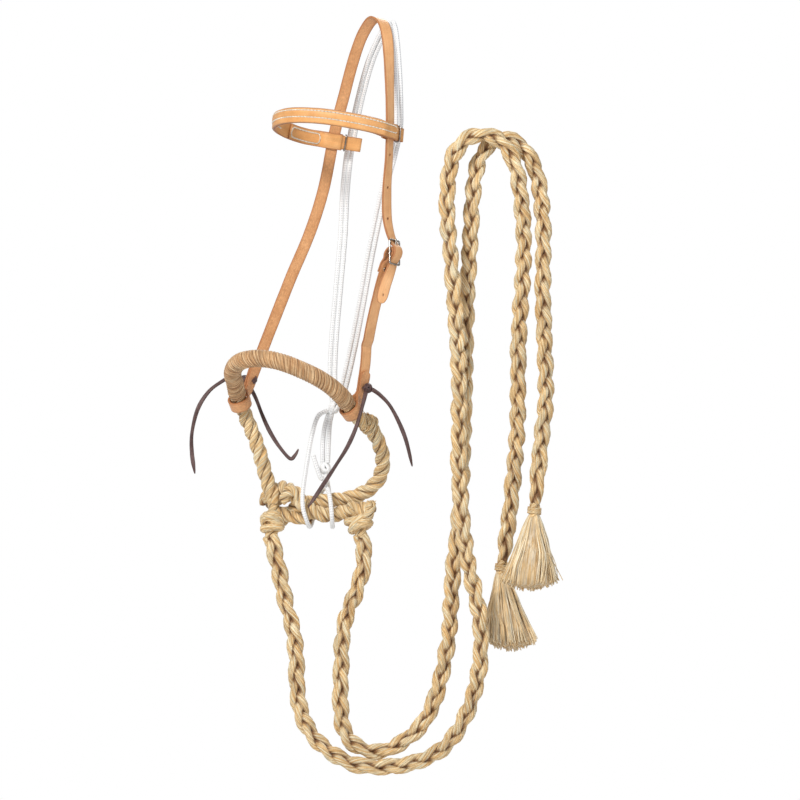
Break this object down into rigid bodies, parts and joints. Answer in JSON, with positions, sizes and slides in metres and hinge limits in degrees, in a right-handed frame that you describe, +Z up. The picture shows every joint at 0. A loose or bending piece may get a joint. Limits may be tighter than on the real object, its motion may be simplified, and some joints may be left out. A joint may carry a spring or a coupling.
{
  "type": "bitless hackamore",
  "caption": "Bitless hackamore hung from its crown: leather headstall with buckle and stitched browband, wrapped rope noseband, white throat cord and plaited rope reins with tassels.",
  "frame": {"origin": "underside of the crown strap at the point it hangs from", "axes": "+Z up along the hanging headstall, -Y towards the horse's near side, -X towards the front of the nose"},
  "size_m": [0.5044, 0.2052, 1.0465],
  "materials": {
    "leather": "satin, vegetable-tanned",
    "browband_leather": "satin, vegetable-tanned",
    "thread": "matte",
    "nickel": "bright, lightly worn",
    "rope": "matte fibre",
    "wrap": "matte fibre",
    "cord": "matte braid",
    "thong": "dull"
  },
  "bodies": {
    "headstall": {"crown_strap": "leather", "near_cheek_strap": "leather", "buckle_frame": "nickel", "fold_screw_post": "nickel", "fold_screw": "nickel", "near_thong_knot": "thong", "far_thong_knot": "thong", "near_thong_front_tail": "thong", "near_thong_back_tail": "thong", "far_thong_front_tail": "thong", "far_thong_back_tail": "thong", "throat_cord": "cord", "left_rein": "rope", "right_rein": "rope", "left_rein_tie": "rope", "right_rein_tie": "rope"},
    "tongue": {"buckle_tongue": "nickel"},
    "browband": {"browband_strap": "browband_leather", "browband_face": "browband_leather", "browband_stitching": "thread"},
    "near_ring": {"near_brow_ring": "nickel"},
    "far_ring": {"far_brow_ring": "nickel"},
    "noseband": {"noseband_rope": "rope", "noseband_wrap": "wrap", "leg_collar": "rope", "chin_rope": "rope", "left_rein_knot": "rope", "right_rein_knot": "rope", "upper_cord_knot": "cord", "lower_cord_knot": "cord", "drop_cords": "cord", "heel_cord": "cord", "tie_cord": "cord"},
    "left_tassel": {"left_tassel": "rope"},
    "right_tassel": {"right_tassel": "rope"}
  },
  "joints": [
    {"name": "tongue_pivot", "type": "hinge", "parent": "headstall", "child": "tongue", "pos_m": [0.0255, -0.076, -0.3205], "axis": [0.6597, 0.7295, -0.1805], "range_deg": [0, 8]},
    {"name": "browband_slide", "type": "slide", "parent": "headstall", "child": "browband", "axis": [0.1109, 0.0302, 0.9934], "range_m": [-0.002, 0.002]},
    {"name": "near_ring_slide", "type": "slide", "parent": "browband", "child": "near_ring", "axis": [0.6268, 0.7541, -0.1959], "range_m": [-0.001, 0.005]},
    {"name": "far_ring_slide", "type": "slide", "parent": "browband", "child": "far_ring", "axis": [0.9835, 0.1004, -0.1505], "range_m": [-0.001, 0.014]},
    {"name": "noseband_swing", "type": "hinge", "parent": "headstall", "child": "noseband", "pos_m": [-0.188, 0.04, -0.527], "axis": [0.9214, -0.3829, -0.0658], "range_deg": [-8, 3], "deforming": ["left_rein", "right_rein", "throat_cord"]},
    {"name": "left_tassel_swing", "type": "hinge", "parent": "headstall", "child": "left_tassel", "pos_m": [0.1724, 0.024, -0.7704], "axis": [0, 1, 0], "range_deg": [-10, 10]},
    {"name": "right_tassel_swing", "type": "hinge", "parent": "headstall", "child": "right_tassel", "pos_m": [0.218, -0.0176, -0.6907], "axis": [0, 1, 0], "range_deg": [-10, 10]}
  ]
}
